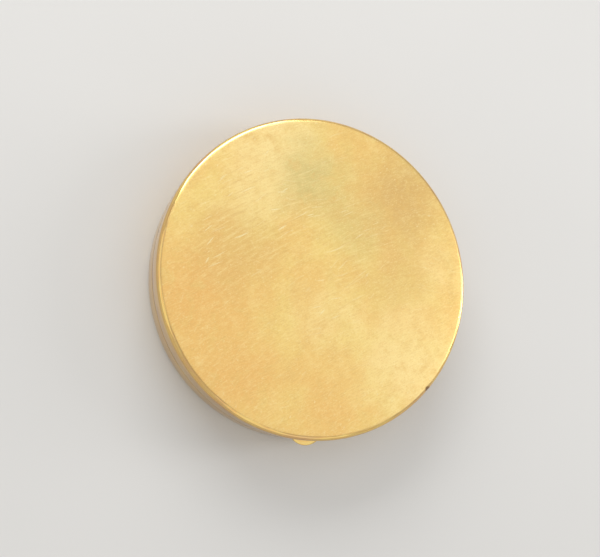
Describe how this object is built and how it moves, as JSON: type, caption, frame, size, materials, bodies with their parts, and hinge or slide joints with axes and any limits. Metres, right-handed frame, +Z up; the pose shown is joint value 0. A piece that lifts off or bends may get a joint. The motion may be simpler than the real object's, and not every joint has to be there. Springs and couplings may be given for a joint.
{
  "type": "locket",
  "caption": "Round flat hinged keepsake locket in satin gold, with a polished edge, a thumb lip and a glazed picture frame in each half.",
  "frame": {"origin": "centre of the flat underside of the closed case", "axes": "+Z up through the closed case, out of its front face; X along the hinge; +Y towards the hinge, -Y towards the thumb lip"},
  "size_m": [0.048, 0.0495, 0.009],
  "materials": {
    "satin_gold": "satin gold-filled sheet with fine handling scratches, polished on the shoulder and wall",
    "polished_gold": "polished gold-filled trim",
    "gilt_brass": "gilt brass picture bezel, light brushing",
    "steel_pin": "drawn steel wire with rounded ends",
    "clear_window": "thin clear sheet",
    "picture_card": "matt aged cream card, blank",
    "backing_board": "grey-brown pasteboard"
  },
  "bodies": {
    "back": {"back_cover": "satin_gold", "snap_rim": "polished_gold", "catch_bead": "polished_gold", "back_bezel": "gilt_brass", "back_window": "clear_window", "back_picture": "picture_card", "back_board": "backing_board", "back_hinge_seat": "polished_gold", "back_hinge_tube_1": "polished_gold", "back_hinge_tube_2": "polished_gold", "back_hinge_tube_3": "polished_gold", "hinge_pin": "steel_pin"},
    "front": {"front_cover": "satin_gold", "thumb_lip": "polished_gold", "front_bezel": "gilt_brass", "front_window": "clear_window", "front_picture": "picture_card", "front_board": "backing_board", "front_hinge_seat": "polished_gold", "front_hinge_tube_1": "polished_gold", "front_hinge_tube_2": "polished_gold"}
  },
  "joints": [
    {"name": "cover_hinge", "type": "hinge", "parent": "back", "child": "front", "pos_m": [0, 0.0242, 0.0045], "axis": [-1, 0, 0], "range_deg": [0, 180]}
  ]
}
